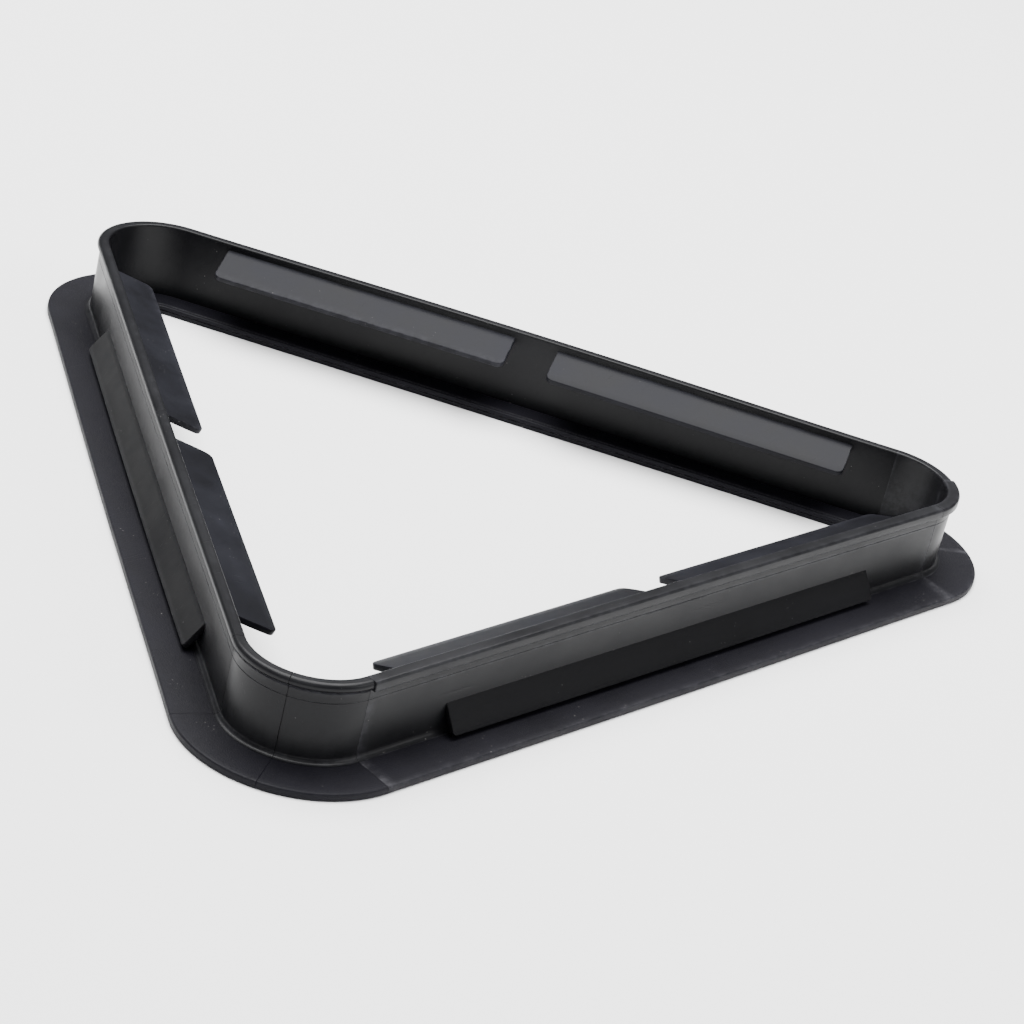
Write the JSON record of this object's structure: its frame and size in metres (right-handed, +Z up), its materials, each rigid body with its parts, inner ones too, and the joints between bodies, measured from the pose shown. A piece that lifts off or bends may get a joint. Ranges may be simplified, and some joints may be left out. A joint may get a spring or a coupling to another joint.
{
  "type": "triangle ball rack",
  "caption": "Triangular frame that gathers billiard balls into a tight triangle: a flat flanged base, an upright wall, inner guide fins and outer finger grips.",
  "frame": {"origin": "centre of the footprint, on the table plane", "axes": "+X along the front side, +Y from the front side to the apex corner, +Z up"},
  "size_m": [0.3894, 0.349, 0.034],
  "materials": {
    "base": "fine sandy moulded texture, near black with a faint violet tint",
    "wall": "smooth satin moulding",
    "guide": "smooth satin moulding with faint cloudy flow marks",
    "grip": "smooth satin moulding"
  },
  "bodies": {
    "root": {"front_base": "base", "right_base": "base", "left_base": "base", "front_wall": "wall", "right_wall": "wall", "left_wall": "wall", "front_guide_left": "guide", "front_guide_right": "guide", "right_guide_front": "guide", "right_guide_back": "guide", "left_guide_back": "guide", "left_guide_front": "guide", "front_grip": "grip", "right_grip": "grip", "left_grip": "grip", "right_corner_base_front": "base", "right_corner_base_rear": "base", "apex_corner_base_right": "base", "apex_corner_base_left": "base", "left_corner_base_rear": "base", "left_corner_base_front": "base", "right_corner_wall_front": "wall", "right_corner_wall_rear": "wall", "apex_corner_wall_right": "wall", "apex_corner_wall_left": "wall", "left_corner_wall_rear": "wall", "left_corner_wall_front": "wall"}
  },
  "joints": []
}
